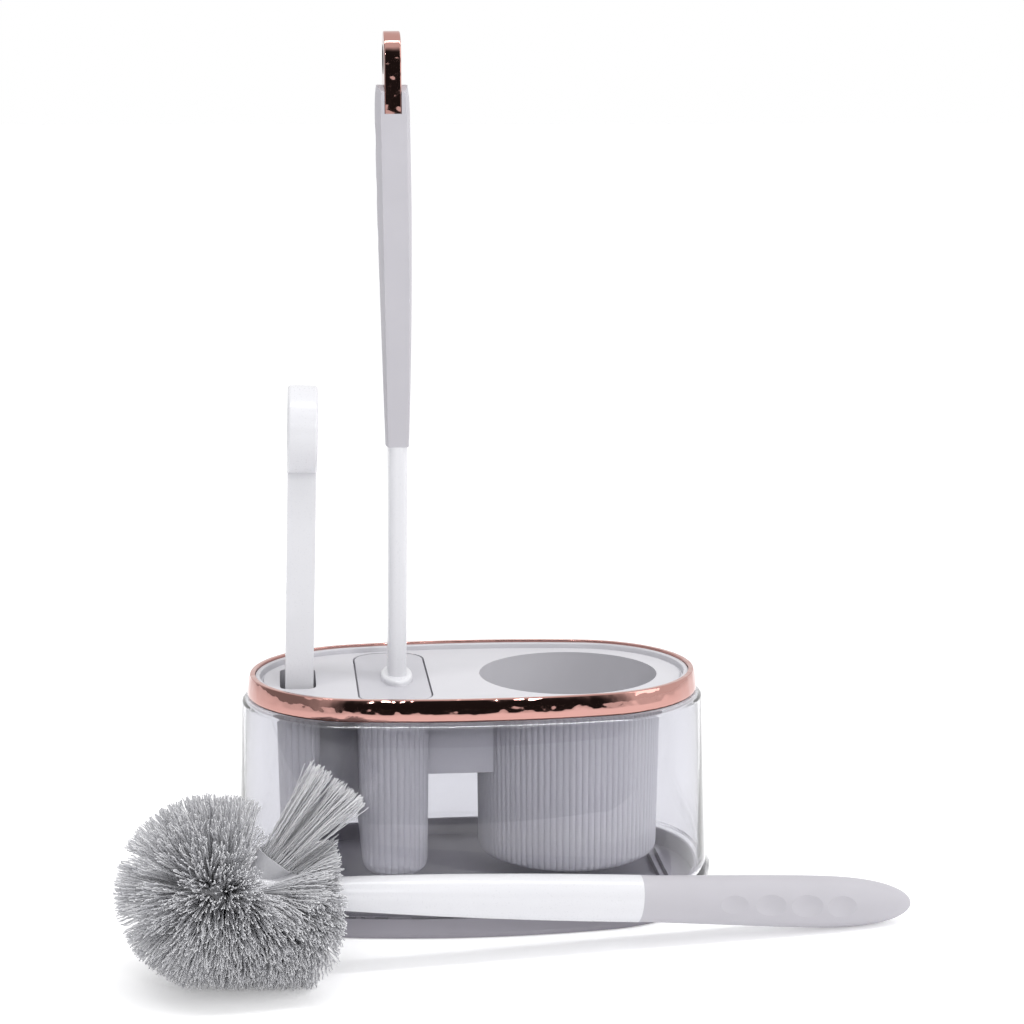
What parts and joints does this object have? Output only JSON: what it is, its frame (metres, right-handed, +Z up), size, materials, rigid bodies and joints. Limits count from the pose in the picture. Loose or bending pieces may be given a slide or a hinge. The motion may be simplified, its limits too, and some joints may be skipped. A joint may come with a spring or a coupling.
{
  "type": "toilet brush holder",
  "caption": "Oval bathroom brush caddy: clear shell, lift-out grey tray with wells, rose-gold rim, standing flat and slot brushes, and a round brush lying in front.",
  "frame": {"origin": "centre of the holder's foot plane", "axes": "+Z up, +X along the oval towards the round well, +Y to the rear; the round brush lies on the -Y side"},
  "size_m": [0.3792, 0.235, 0.425],
  "materials": {
    "grey_moulding": "satin",
    "soft_pad": "matte",
    "clear_plastic": "polished clear",
    "rose_gold_plating": "polished",
    "light_grey_moulding": "satin",
    "cap_grey": "satin",
    "white_moulding": "glossy",
    "soft_head": "matte",
    "soft_grip": "soft matte",
    "anchor_wire": "drawn wire",
    "grey_bristle": "fibre"
  },
  "bodies": {
    "holder": {"base_tray": "grey_moulding", "anti_slip_pads": "soft_pad", "clear_shell": "clear_plastic"},
    "insert": {"insert_tray": "light_grey_moulding", "trim_ring": "rose_gold_plating"},
    "flat_brush": {"flat_brush_cap": "cap_grey", "flat_brush_core": "white_moulding", "flat_brush_head": "soft_head", "flat_brush_shaft": "white_moulding", "flat_brush_grip": "soft_grip", "hanging_loop": "rose_gold_plating"},
    "slot_brush": {"slot_brush_handle": "white_moulding", "slot_brush_staples": "anchor_wire", "slot_brush_bristles": "grey_bristle"},
    "round_brush": {"round_brush_hub": "white_moulding", "tuft_staples": "anchor_wire", "round_brush_bristles": "grey_bristle", "rim_brush_bristles": "grey_bristle", "round_brush_shaft": "white_moulding", "round_brush_grip": "soft_grip"}
  },
  "joints": [
    {"name": "insert_lift", "type": "slide", "parent": "holder", "child": "insert", "axis": [0, 0, 1], "range_m": [0, 0.1]},
    {"name": "flat_brush_lift", "type": "slide", "parent": "insert", "child": "flat_brush", "axis": [0, 0, 1], "range_m": [0, 0.1]},
    {"name": "slot_brush_lift", "type": "slide", "parent": "insert", "child": "slot_brush", "axis": [0.0279, 0, 0.9996], "range_m": [0, 0.1]},
    {"name": "round_brush_lift", "type": "slide", "parent": "holder", "child": "round_brush", "axis": [0, 0, 1], "range_m": [0, 0.15]}
  ]
}
